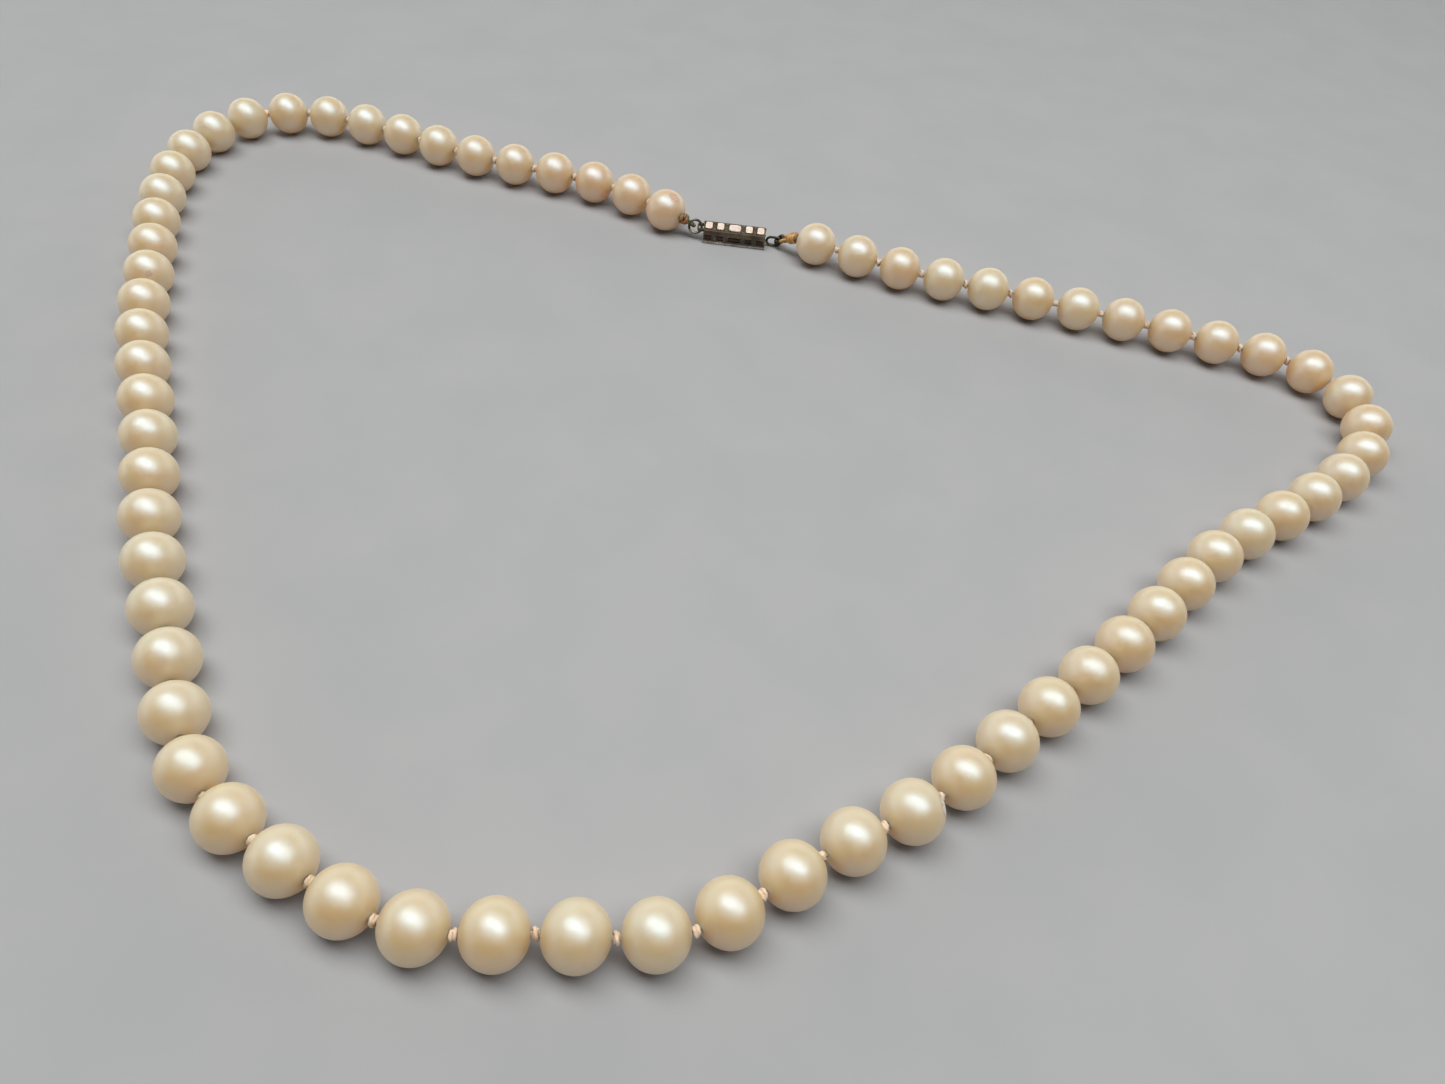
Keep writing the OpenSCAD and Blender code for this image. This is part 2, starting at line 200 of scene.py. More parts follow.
class Shader(Nodes):
    """A Principled material whose node tree is built by short calls."""

    def __init__(self, name, **sockets):
        self.material = bpy.data.materials.new(name)
        super().__init__(self.material)
        self.surface = self.tree.nodes["Principled BSDF"]
        for socket, value in sockets.items():
            self.put(self.surface, socket.replace("_", " "), value)

    def attribute(self, name, output="Vector"):
        return self.node("Attribute", attribute_name=name).outputs[output]

    def place(self):
        """The row's own coordinates in metres, for pieces that carry no coordinates."""
        return self.node("TexCoord").outputs["Object"]

    def noise(self, where, scale, detail, roughness=0.5):
        inputs = {"Vector": where, "Scale": scale, "Detail": detail, "Roughness": roughness}
        return self.node("TexNoise", inputs).outputs["Fac"]

    def cells(self, where, scale):
        return self.node("TexVoronoi", {"Vector": where, "Scale": scale}).outputs["Distance"]

    def frayed(self, value, noise):
        """value, moved by up to a quarter either way by a noise, so that its edge is ragged."""
        off = self.math("SUBTRACT", noise, 0.5)
        return self.math("ADD", value, self.math("MULTIPLY", off, 0.5))

    def mix(self, amount, a, b):
        """The colour a, turning into b as amount goes from 0 to 1."""
        return self.node("Mix", {0: amount, 6: a, 7: b}, data_type="RGBA").outputs[2]

    def bump(self, height, distance, strength, over=None):
        """The normal of a surface with bumps of a height in millimetres, over another's."""
        inputs = {"Height": height, "Distance": distance * MM, "Strength": strength}
        if over is not None:
            inputs["Normal"] = over
        return self.node("Bump", inputs).outputs["Normal"]


def nacre():
    """Satin nacre: cream to tan, with a clear top, faint clouds and pits, and worn places."""
    s = Shader(
        "nacre",
        IOR=2.6,
        Specular_IOR_Level=1.0,
        Specular_Tint=(0.52, 0.82, 1.0, 1.0),
        Sheen_Weight=0.2,
        Sheen_Roughness=0.4,
        Sheen_Tint=(1.0, 0.86, 0.72, 1.0),
        Coat_Weight=0.35,
        Coat_Roughness=0.24,
        Coat_IOR=1.6,
        Subsurface_Weight=1.0,
        Subsurface_Scale=14.0 * MM,
        Subsurface_Radius=(1.0, 0.92, 0.85),
    )
    skin = s.attribute("skin")
    mood = s.node("SeparateColor", {"Color": s.attribute("mood", "Color")})
    tone, warmth, marks = mood.outputs[0], mood.outputs[1], mood.outputs[2]
    worn = s.attribute("worn", "Fac")
    clouds = s.noise(skin, 1.1, 3)
    cream = s.mix(s.span(clouds, 0.3, 0.7), linear(255, 181, 102), linear(253, 176, 98))
    tan = s.mix(s.span(clouds, 0.35, 0.7), linear(252, 164, 74), linear(245, 155, 65))
    body = s.mix(s.span(warmth, 0.0, 1.0), cream, tan)
    body = s.mix(s.span(tone, 0.0, 1.0, 0.0, 0.1), body, linear(246, 236, 216))
    # Small dark pits, on a few pearls only
    pits = s.math("MULTIPLY", s.span(s.cells(skin, 5.5), 0.045, 0.09, 1.0, 0.0),
                  s.span(marks, 0.72, 0.8))
    body = s.mix(s.math("MULTIPLY", pits, 0.55), body, linear(120, 92, 66))
    # Worn places: the edge of the coating flakes, and the dull grey-tan ground shows
    ragged = s.frayed(worn, s.noise(skin, 7, 5))
    bare = s.span(ragged, 0.5, 0.62)
    rim = s.math("MULTIPLY", s.span(ragged, 0.36, 0.5), s.span(ragged, 0.5, 0.62, 1.0, 0.0))
    ground = s.mix(s.span(s.noise(skin, 16, 4), 0.35, 0.65), s.attribute("ground", "Color"), body)
    body = s.mix(s.math("MULTIPLY", bare, 0.8), body, ground)
    body = s.mix(s.math("MULTIPLY", rim, 0.6), body, linear(150, 100, 62))
    s.put(s.surface, "Base Color", body)
    rough = s.span(s.noise(skin, 3.2, 4), 0.25, 0.75, 0.49, 0.57)
    s.put(s.surface, "Roughness", s.math("ADD", rough, s.math("MULTIPLY", bare, 0.3)))
    soft = s.bump(s.noise(skin, 2.0, 2), 0.05, 0.5)
    fine = s.bump(s.noise(skin, 26, 4), 0.006, 0.35, over=soft)
    s.put(s.surface, "Normal", s.bump(ragged, 0.05, 0.35, over=fine))
    return s.material


def silk_thread():
    s = Shader("silk_thread", Roughness=0.7, Specular_IOR_Level=0.35,
               Sheen_Weight=0.35, Sheen_Roughness=0.4,
               Subsurface_Weight=0.15, Subsurface_Scale=0.3 * MM)
    where = s.place()
    darkening = s.span(s.noise(where, 420, 4), 0.42, 0.72)
    colour = s.mix(darkening, linear(234, 214, 184), linear(206, 178, 138))
    colour = s.mix(s.attribute("soiled", "Fac"), colour, linear(150, 118, 78))
    s.put(s.surface, "Base Color", colour)
    fibres = s.noise(where, 9000, 3, 0.7)
    s.put(s.surface, "Normal", s.bump(fibres, 0.02, 0.5))
    return s.material


def gimp_wire(name, wire, bright, rust, rust_at, copper=0.0, dark_near=None):
    """Coiled wire with corrosion: rust is its colour, and a higher rust_at leaves less of it.

    Up to dark_near mm from the metal it holds, the wire is green-black all over.
    """
    s = Shader(name)
    where = s.place()
    patch = s.noise(where, 900, 4, 0.6)
    corroded = s.span(patch, rust_at, rust_at + 0.09)
    metal = s.mix(s.span(s.noise(where, 2600, 3), 0.3, 0.7), wire, bright)
    if copper:
        metal = s.mix(s.span(s.noise(where, 1300, 2), 0.5, 0.62, 0.0, copper), metal,
                      linear(196, 120, 84))
    colour = s.mix(corroded, metal, rust)
    if dark_near is not None:
        close = s.span(s.attribute("reach", "Fac"), dark_near - 0.3, dark_near + 0.3, 1.0, 0.0)
        colour = s.mix(close, colour, linear(48, 52, 36))
    s.put(s.surface, "Base Color", colour)
    s.put(s.surface, "Metallic", s.span(corroded, 0.0, 1.0, 0.5, 0.0))
    s.put(s.surface, "Roughness", s.span(corroded, 0.0, 1.0, 0.4, 0.85))
    s.put(s.surface, "Normal", s.bump(s.noise(where, 6000, 4), 0.03, 0.6))
    return s.material


def old_metal(name, dark, light, edge, rough=0.42, grime_at=0.5, verdigris=0.0, metallic=0.85):
    """Tarnished plate: a dark film, lighter scuffs and rubbed edges, and patches of green."""
    s = Shader(name, Metallic=metallic)
    where = s.place()
    film = s.span(s.noise(where, 380, 5, 0.6), grime_at - 0.14, grime_at + 0.14)
    colour = s.mix(film, light, dark)
    scuffs = s.span(s.noise(where, 2400, 4, 0.65), 0.56, 0.7)
    colour = s.mix(s.math("MULTIPLY", scuffs, 0.5), colour, edge)
    # Rubbed edges, from the angle between the true and the rounded normal
    rounded = s.node("Bevel", {"Radius": 0.12 * MM}, samples=4).outputs["Normal"]
    true = s.node("NewGeometry").outputs["Normal"]
    along = s.node("VectorMath", {0: rounded, 1: true}, operation="DOT_PRODUCT")
    rubbed = s.span(along.outputs["Value"], 0.8, 0.97, 1.0, 0.0)
    colour = s.mix(s.math("MULTIPLY", rubbed, 0.7), colour, edge)
    if verdigris:
        green = s.span(s.noise(where, 700, 4, 0.6), 0.64, 0.72, 0.0, verdigris)
        colour = s.mix(green, colour, linear(58, 92, 66))
    s.put(s.surface, "Base Color", colour)
    s.put(s.surface, "Roughness", s.span(film, 0.0, 1.0, rough - 0.1, rough + 0.16))
    s.put(s.surface, "Normal", s.bump(s.noise(where, 1800, 5, 0.65), 0.05, 0.5))
    return s.material


def paste_stone():
    """Pinkish foil-backed paste: bright, glassy, cloudy inside, darker towards its setting, and with
    a painted shade line along the middle of the centre stone.
    """
    s = Shader("paste_stone", Roughness=0.1, IOR=1.6, Coat_Weight=0.5, Coat_Roughness=0.05,
               Subsurface_Weight=0.3, Subsurface_Scale=0.6 * MM)
    where = s.place()
    edge = s.attribute("edge", "Fac")
    cloud = s.span(s.noise(where, 900, 3), 0.35, 0.7)
    colour = s.mix(cloud, linear(252, 236, 220), linear(240, 206, 186))
    # Darker towards the setting, from the edge attribute, which also carries the painted shade line
    # along the middle of the centre stone
    ragged = s.frayed(edge, s.noise(where, 1700, 3))
    colour = s.mix(s.span(ragged, 0.62, 0.86), colour, linear(150, 112, 84))
    colour = s.mix(s.span(ragged, 0.84, 1.02), colour, linear(66, 50, 38))
    s.put(s.surface, "Base Color", colour)
    s.put(s.surface, "Normal", s.bump(s.noise(where, 1500, 3), 0.02, 0.3))
    return s.material


def table_top():
    s = Shader("table_top", Roughness=0.75, Specular_IOR_Level=0.25)
    where = s.place()
    mottle = s.span(s.noise(where, 60, 4), 0.3, 0.7)
    s.put(s.surface, "Base Color", s.mix(mottle, linear(169, 170, 168), linear(166, 167, 166)))
    s.put(s.surface, "Normal", s.bump(s.noise(where, 1600, 4), 0.03, 0.3))
    return s.material


# ---------------------------------------------------------------------------------------------
# Mesh code
# ---------------------------------------------------------------------------------------------


class Piece:
    """Vertices, faces and point attributes that grow part by part into one mesh object."""

    def __init__(self, name):
        self.name, self.points, self.faces, self.count = name, [], [], 0
        self.values = {}

    def add(self, points, faces, **values):
        self.points.append(np.asarray(points, float))
        self.faces += [[i + self.count for i in f] for f in faces]
        self.count += len(points)
        for key, value in values.items():
            value = np.full(len(points), value) if np.ndim(value) == 0 else value
            self.values.setdefault(key, []).append(np.asarray(value, float))

    def make(self, body, material, replaced=()):
        """Turns what was added into an object that rides on a body of the frame."""
        mesh = bpy.data.meshes.new(self.name)
        mesh.from_pydata((np.vstack(self.points) * MM).tolist(), [], self.faces)
        mesh.validate()
        kinds = {1: ("FLOAT", "value"), 3: ("FLOAT_VECTOR", "vector"), 4: ("FLOAT_COLOR", "color")}
        for key, parts in self.values.items():
            data = np.concatenate(parts)
            kind, field = kinds[1 if data.ndim == 1 else data.shape[1]]
            attribute = mesh.attributes.new(key, kind, "POINT")
            attribute.data.foreach_set(field, data.astype(np.float32).ravel())
        mesh.polygons.foreach_set("use_smooth", [True] * len(mesh.polygons))
        mesh.materials.append(material)
        made = bpy.data.objects.new(self.name, mesh)
        bpy.context.scene.collection.objects.link(made)
        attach(made, body)
        if replaced:
            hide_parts(*replaced)


def band_faces(rows, around, closed=False):
    """The four-sided faces between rows of points, each row a ring of around points."""
    return [
        [i * around + k, i * around + (k + 1) % around,
         (i + 1) % rows * around + (k + 1) % around, (i + 1) % rows * around + k]
        for i in range(rows if closed else rows - 1)
        for k in range(around)
    ]


def frames_along(path, closed=False):
    """Two unit cross directions at each point of a path, carried along it without twist."""
    ahead = np.roll(path, -1, 0) if closed else np.vstack([path[1:], path[-1:]])
    behind = np.roll(path, 1, 0) if closed else np.vstack([path[:1], path[:-1]])
    t = ahead - behind
    t /= np.linalg.norm(t, axis=1)[:, None]
    side = np.cross(t[0], Z_AXIS)
    if np.linalg.norm(side) < 0.1:
        side = np.cross(t[0], [1.0, 0.0, 0.0])
    u = [side / np.linalg.norm(side)]
    for k in range(1, len(path)):
        v = u[-1] - (u[-1] @ t[k]) * t[k]
        u.append(v / np.linalg.norm(v))
    u = np.array(u)
    return u, np.cross(t, u)


def tube(path, radius, sides, closed=False, lobes=0, lobe_depth=0.0, lobe_turns=0.0):
    """A swept tube. Lobes are ridges around it that turn along it, as in a plied thread."""
    path = np.asarray(path, float)
    n = len(path)
    u, v = frames_along(path, closed)
    angle = np.linspace(0, 2 * math.pi, sides, endpoint=False)
    radii = np.broadcast_to(np.asarray(radius, float), (n,))
    turns = np.arange(n)[:, None] * lobe_turns * 2 * math.pi / max(n - 1, 1)
    shape = 1 + lobe_depth * np.cos(lobes * angle[None, :] + turns)
    r = radii[:, None] * shape
    points = (
        path[:, None, :]
        + (r * np.cos(angle))[:, :, None] * u[:, None, :]
        + (r * np.sin(angle))[:, :, None] * v[:, None, :]
    ).reshape(-1, 3)
    faces = band_faces(n, sides, closed)
    if not closed:
        faces.append(list(range(sides - 1, -1, -1)))
        faces.append([(n - 1) * sides + k for k in range(sides)])
    return points, faces


# ---------------------------------------------------------------------------------------------
# The strand, found from the CAD nodes
# ---------------------------------------------------------------------------------------------


def solids_of(node):
    """The separate solids of a CAD node, as arrays of points in millimetres."""
    bm = bmesh.new()
    bm.from_mesh(NODES[node].data)
    bmesh.ops.remove_doubles(bm, verts=bm.verts, dist=WELD)
    bm.verts.ensure_lookup_table()
    seen, found = set(), []
    for start in bm.verts:
        if start.index in seen:
            continue
        stack, island = [start], []
        seen.add(start.index)
        while stack:
            vert = stack.pop()
            island.append(vert.co[:])
            for edge in vert.link_edges:
                other = edge.other_vert(vert)
                if other.index not in seen:
                    seen.add(other.index)
                    stack.append(other)
        found.append(np.array(island) / MM)
    bm.free()
    return found


PEARL_R = 4.0
PEARL_END = 3.8  # half the pearl's length along its drill hole
BORE_R = 0.5
PEARL_ROWS = 47
PEARL_AROUND = 72
LUMPS = 3
LUMP_DEPTH = 0.006  # of the radius, where all the lumps are low
LUMP_WAVE = 2.2  # radians for each radius along a lump's direction
SPARE = 0.002  # of the radius, that a pearl stays inside its true ball
PEARL_SEED = 100
RIM_TOLERANCE = 0.01
RIGHT_BACK = (95, 35)


def read_pearls():
    """Every pearl as {node, centre, axis}, in order along the strand from the left of the clasp."""
    loose = []
    for node in NODES:
        if "pearl" not in node:
            continue
        for points in solids_of(node):
            centre = (points.min(0) + points.max(0)) / 2
            away = np.linalg.norm(points - centre, axis=1)
            # The points nearest to the centre are the two rims of the drill hole
            rims = points[away < away.min() + RIM_TOLERANCE] - centre
            axis = rims[rims @ rims[0] > 0].mean(0)
            loose.append({"node": node, "centre": centre, "axis": axis / np.linalg.norm(axis)})
    start = np.mean(solids_of("left_gimp")[0], axis=0)
    strand = []
    while loose:
        nearest = min(loose, key=lambda p: np.linalg.norm(p["centre"] - start))
        loose.remove(nearest)
        way = nearest["centre"] - start
        if nearest["axis"] @ way < 0:
            nearest["axis"] = -nearest["axis"]
        start = nearest["centre"]
        strand.append(nearest)
    return strand


def read_knots(strand):
    """The knots' places: each pearl hangs halfway between two of them."""
    half = np.linalg.norm(strand[1]["centre"] - strand[0]["centre"]) / 2
    knots = [strand[0]["centre"] - strand[0]["axis"] * half]
    for pearl in strand:
        knots.append(2 * pearl["centre"] - knots[-1])
    return knots


# Worn places: pearl number, direction from its centre, reach in degrees, colour laid bare
BROWN, DULL, PALE = (150, 96, 60), (168, 142, 112), (246, 234, 212)
WORN = [
    (0, (0.42, -0.25, 0.87), 17, BROWN),
    (14, (-0.35, -0.5, 0.8), 5, BROWN),
    (18, (0.45, -0.75, 0.48), 14, DULL),
    (24, (-0.5, -0.1, 0.86), 5, BROWN),
    (33, (0.2, -0.75, 0.6), 4, BROWN),
    (41, (0.9, 0.1, 0.4), 24, PALE),
    (42, (-0.35, -0.6, 0.7), 8, PALE),
    (43, (0.1, -0.75, 0.65), 7, PALE),
    (52, (0.1, -0.7, 0.7), 4, BROWN),
]


def pearl_profile():
    """A pearl's outline as (along the drill hole, radius): bore, soft rim and ball."""
    offset = PEARL_R - PEARL_END
    start = math.asin((BORE_R + 0.1 - offset) / PEARL_END)
    ball = [
        (PEARL_END * math.cos(a), offset + PEARL_END * math.sin(a))
        for a in np.linspace(start, math.pi - start, PEARL_ROWS)
    ]
    end = [(2.6, BORE_R), (3.4, BORE_R), (PEARL_END - 0.09, BORE_R),
           (PEARL_END - 0.03, BORE_R + 0.02)]
    return end + ball + [(-x, r) for x, r in reversed(end)]


def add_pearl(piece, pearl, number):
    """One slightly uneven pearl, with its own coordinates, colour and wear."""
    profile = pearl_profile()
    axis = pearl["axis"]
    side = np.cross(Z_AXIS, axis)
    up = np.cross(axis, side)
    chance = random.Random(PEARL_SEED + number)
    angle = np.linspace(0, 2 * math.pi, PEARL_AROUND, endpoint=False)
    x, r = (np.array(c)[:, None] * np.ones(PEARL_AROUND) for c in zip(*profile))
    # Gentle lumps on the ball, none in the bore, that only ever take a little away
    lump = np.zeros_like(x)
    for _ in range(LUMPS):
        pull = np.array([chance.gauss(0, 1) for _ in range(3)])
        pull /= np.linalg.norm(pull)
        d = (x * pull[0] + r * np.cos(angle) * pull[1] + r * np.sin(angle) * pull[2]) / PEARL_R
        lump += np.cos(LUMP_WAVE * d + chance.uniform(0, 6))
    on_ball = np.clip((r - BORE_R - 0.3) / 1.5, 0, 1)
    shrink = 1 - on_ball * (LUMP_DEPTH * (LUMPS - lump) / (2 * LUMPS) + SPARE)
    x, r = x * shrink, np.where(r > BORE_R + 0.05, r * shrink, r)
    local = np.stack([x, r * np.cos(angle), r * np.sin(angle)], -1).reshape(-1, 3)
    points = pearl["centre"] + local @ np.stack([axis, side, up])
    faces = band_faces(len(profile), PEARL_AROUND)
    worn = np.zeros(len(points))
    ground = linear(*DULL)
    outward = (points - pearl["centre"]) / PEARL_R
    for which, towards, reach, colour in WORN:
        if which == number:
            towards = np.array(towards) / np.linalg.norm(towards)
            off = np.degrees(np.arccos(np.clip(outward @ towards, -1, 1)))
            worn = np.maximum(worn, np.clip(1.25 - off / reach * 0.75, 0, 1))
            ground = linear(*colour)
    # Each pearl has a place of its own in the noises, and its own tone, warmth and marks
    skin = local / PEARL_R + np.array([chance.uniform(0, 40) for _ in range(3)])
    mood = [chance.random(), warmth_at(pearl["centre"], chance), chance.random(), 1.0]
    piece.add(points, faces, skin=skin, mood=np.tile(mood, (len(points), 1)), worn=worn,
              ground=np.tile(ground, (len(points), 1)))


def warmth_at(centre, chance):
    """Pearls near the clasp and at the far right are a deeper tan."""
    near_clasp = max(0.0, 1 - abs(centre[0] + 5) / 70) * max(0.0, (centre[1] - 20) / 50)
    right_back = max(0.0, 1 - math.dist(centre[:2], RIGHT_BACK) / 45)
    return min(1.0, 0.14 + 0.62 * near_clasp + 0.4 * right_back + chance.uniform(-0.08, 0.08))


def dress_pearls(strand, material):
    """One mesh for each CAD node of pearls, in the node's place."""
    for node in [n for n in NODES if "pearl" in n]:
        piece = Piece(node + ".nacre")
        for number, pearl in enumerate(strand):
            if pearl["node"] == node:
                add_pearl(piece, pearl, number)
        piece.make(BODY_OF[node], material, [node])


# ---------------------------------------------------------------------------------------------
# Silk
# ---------------------------------------------------------------------------------------------

THREAD_R = 0.34
THREAD_TURN = 1.1  # the length in which the plies turn once around each other
PLY_OFF, PLY_R = THREAD_R * 0.48, THREAD_R * 0.52
KNOT_R = 0.7
KNOT_ROOM = 0.05
WRAP_R = 0.235  # of the thread in a knot
WRAP_OUT, WRAP_SWAY = 0.46, 0.11
WRAP_STEPS = 96
SLIM = 0.66  # the width of a knot where the strand folds, as part of the others'
FIBRES = 14
KNOT_SEED = 500


def add_thread(piece, a, b, from_a, to_b):
    """The two plies of silk from knot a to knot b, fine near the knots, plain in the pearl."""
    length = np.linalg.norm(b - a)
    along = (b - a) / length
    near = np.linspace(from_a, 1.0, 10)
    s = np.concatenate([near, [2.5, length / 2, length - 2.5], length - near[::-1]])
    s = s[(s >= from_a) & (s <= length - to_b)]
    side = np.cross(along, Z_AXIS)
    up = np.cross(side, along)
    angle = s * 2 * math.pi / THREAD_TURN
    for phase in (0, math.pi):
        spiral = np.cos(angle + phase)[:, None] * side + np.sin(angle + phase)[:, None] * up
        path = a + s[:, None] * along + PLY_OFF * spiral
        piece.add(*tube(path, PLY_R, 8), soiled=0.0)


def add_knot(piece, at, along, chance, soiled, slim):
    """A knot pulled tight: two wraps of the plied thread that cross once, with fuzz.

    Where the strand folds the knot is slim, so that the pearls clear it.
    """
    side = np.cross(along, Z_AXIS)
    up = np.cross(side, along)
    basis = np.stack([along, side, up])
    t = np.linspace(0, 2 * math.pi, WRAP_STEPS, endpoint=False)
    spin = chance.uniform(0, 6)
    wide = (WRAP_OUT + WRAP_SWAY * np.sin(t)) * slim + chance.uniform(-0.02, 0.03)
    local = np.stack([
        (WRAP_R + chance.uniform(-0.015, 0.015)) * np.cos(t),
        wide * np.cos(2 * t + spin),
        wide * np.sin(2 * t + spin),
    ], 1)
    piece.add(*tube(at + local @ basis, WRAP_R, 10, closed=True, lobes=2, lobe_depth=0.14,
                    lobe_turns=11), soiled=soiled)
    for _ in range(FIBRES):
        out = basis.T @ np.array([chance.uniform(-0.5, 0.5), *unit_circle(chance)])
        out /= np.linalg.norm(out)
        bend = basis.T @ np.array([chance.uniform(-1, 1) for _ in range(3)])
        s = np.linspace(0, 1, 5)[:, None]
        reach = chance.uniform(0.12, 0.3)
        path = at + out * (KNOT_R * slim - 0.12 + reach * slim * s) + bend * 0.16 * s ** 2
        piece.add(*tube(path, np.linspace(0.014, 0.006, 5), 4), soiled=soiled)


def unit_circle(chance):
    angle = chance.uniform(0, 2 * math.pi)
    return math.cos(angle), math.sin(angle)


def silk_of(pearl_node):
    """The silk node inside a pearl node: its name says silk instead of pearl or pearls."""
    return pearl_node.replace("pearls", "silk").replace("pearl", "silk")


def dress_silk(strand, knots, material):
    """Plied thread and knots for each CAD node of silk. A knot belongs to the node that has it."""
    silk_nodes = [n for n in NODES if "silk" in n]
    cloud = {n: np.array([v.co for v in NODES[n].data.vertices]) / MM for n in silk_nodes}
    owner = []
    for knot in knots:
        gap = {n: np.linalg.norm(cloud[n] - knot, axis=1).min() for n in silk_nodes}
        owner.append(min(gap, key=gap.get))
    for node in silk_nodes:
        piece = Piece(node + ".thread")
        for number, pearl in enumerate(strand):
            if silk_of(pearl["node"]) == node:
                free = [0.0 if owner[k] == node else KNOT_R + KNOT_ROOM
                        for k in (number, number + 1)]
                add_thread(piece, knots[number], knots[number + 1], *free)
        for number, knot in enumerate(knots):
            if owner[number] == node:
                ahead = knots[min(number + 1, len(knots) - 1)]
                behind = knots[max(number - 1, 0)]
                along = (ahead - behind) / np.linalg.norm(ahead - behind)
                soiled = 1.0 if number in (0, len(knots) - 1) else 0.0
                beside = {BODY_OF[strand[k]["node"]] for k in (number - 1, number)
                          if 0 <= k < len(strand)}
                slim = SLIM if len(beside) > 1 else 1.0
                chance = random.Random(KNOT_SEED + number)
                add_knot(piece, knot, along, chance, soiled, slim)
        piece.make(BODY_OF[node], material, [node])


# ---------------------------------------------------------------------------------------------
# Gimp: fine coiled wire over the silk loops
# ---------------------------------------------------------------------------------------------

GIMP_R = 0.47
WIRE_R = 0.06
WIRE_PITCH = 0.14
WIRE_STEPS = 12  # for each turn
WIRE_SIDES = 6
WIRE_SWAY = 0.03
LOOP_STEPS = 180
ARC_STEPS = 30
LEG_GAP = 0.03  # half the room between the closed legs
LEG_EASE = 1.4  # the length in which the legs close up
CORE_R = 0.21
WHIP_R = 0.22
WHIP_PITCH = 0.34
WHIP_STEPS = 28  # for each turn
WHIP_SIDES = 10
WHIP_PAST = 0.15  # past the middle of the knot
WHIP_FLAT = 0.78  # its thickness as part of its width


def loop_of(node, knot):
    """The closed centreline of a gimp loop inside its CAD loop, its reach and its length.

    It is wide around the metal wire, and its two legs close up on the way to the knot. Its reach
    is how far each of its points lies from the middle of the turn around the wire.
    """
    points = solids_of(node)[0]
    centre = points.mean(0)
    normal = np.linalg.svd(points - centre)[2][2]
    along = knot - centre - ((knot - centre) @ normal) * normal
    along /= np.linalg.norm(along)
    across = np.cross(normal, along)
    spread = (points - centre) @ np.stack([along, across, normal]).T
    low, high = spread.min(0), spread.max(0)
    thick = (high[2] - low[2]) / 2
    turn_r = (high[1] - low[1]) / 2 - thick
    hold = low[0] + thick + turn_r
    far = high[0] - 2 * GIMP_R - LEG_GAP
    reach = np.linspace(hold, far, ARC_STEPS)
    ease = np.clip((reach - hold) / min(LEG_EASE, far - hold), 0, 1)
    gap = GIMP_R + LEG_GAP + (turn_r - GIMP_R - LEG_GAP) * (1 - ease * ease * (3 - 2 * ease))
    leg = np.stack([reach, gap], 1)
    half_turn = np.linspace(math.pi / 2, -math.pi / 2, ARC_STEPS)
    tip = np.stack([far + gap[-1] * np.cos(half_turn), gap[-1] * np.sin(half_turn)], 1)
    bow = np.stack([hold - turn_r * np.cos(half_turn), -turn_r * np.sin(half_turn)], 1)
    rough = np.vstack([leg[:-1], tip[:-1], (leg * [1, -1])[::-1][:-1], bow])
    step = np.linalg.norm(np.diff(rough, axis=0), axis=1)
    s = np.concatenate([[0], np.cumsum(step)])
    even = np.linspace(0, s[-1], LOOP_STEPS, endpoint=False)
    flat = np.stack([np.interp(even, s, rough[:, k]) for k in (0, 1)], 1)
    middle = (low[1] + high[1]) / 2 * across + (low[2] + high[2]) / 2 * normal
    return centre + middle + flat @ np.stack([along, across]), flat[:, 0] - hold, s[-1]


def path_reach(points, middle, along, reach, path):
    """The reach of other points, as reach gives it for those of the path."""
    start = ((path - middle) @ along - reach)[0]
    return (points - middle) @ along - start


def wind_coil(piece, path, reach, length, chance):
    """Wire coiled round the whole path, with a girth that sways a little."""
    u, v = frames_along(path, closed=True)
    s = np.linspace(0, len(path), int(length / WIRE_PITCH) * WIRE_STEPS, endpoint=False)
    low = s.astype(int)
    part = (s - low)[:, None]
    high = (low + 1) % len(path)

    def blend(a):
        return a[low] * (1 - part) + a[high] * part

    angle = np.arange(len(s)) * 2 * math.pi / WIRE_STEPS
    sway = np.abs(np.sin(s / len(path) * 9 * math.pi + chance.random()))
    out = GIMP_R - WIRE_R - WIRE_SWAY * sway
    spiral = np.cos(angle)[:, None] * blend(u) + np.sin(angle)[:, None] * blend(v)
    points, faces = tube(blend(path) + out[:, None] * spiral, WIRE_R, WIRE_SIDES, closed=True)
    piece.add(points, faces, reach=np.repeat(blend(reach[:, None])[:, 0], WIRE_SIDES))


def whip_legs(piece, path, reach, knot, whip, girth):
    """The coil's end, whipped round both legs of the path for a length of whip up to the knot."""
    middle = path.mean(0)
    along = knot - middle
    along /= np.linalg.norm(along)
    normal = np.linalg.svd(path - middle)[2][2]
    across = np.cross(normal, along)
    start = (knot - middle) @ along + WHIP_PAST
    turns = int(whip / WHIP_PITCH)
    t = np.linspace(0, turns, turns * WHIP_STEPS)
    swell = np.minimum(1, 0.72 + 0.5 * np.minimum(t, turns - t)) + 0.05 * np.sin(t * 2.3)
    angle = 2 * math.pi * t
    around = np.cos(angle)[:, None] * across + WHIP_FLAT * np.sin(angle)[:, None] * normal
    spiral = middle + (start - t * WHIP_PITCH)[:, None] * along + girth * swell[:, None] * around
    piece.add(*tube(spiral, WHIP_R, WHIP_SIDES, lobes=3, lobe_depth=0.2, lobe_turns=turns * 9),
              reach=np.repeat(path_reach(spiral, middle, along, reach, path), WHIP_SIDES))


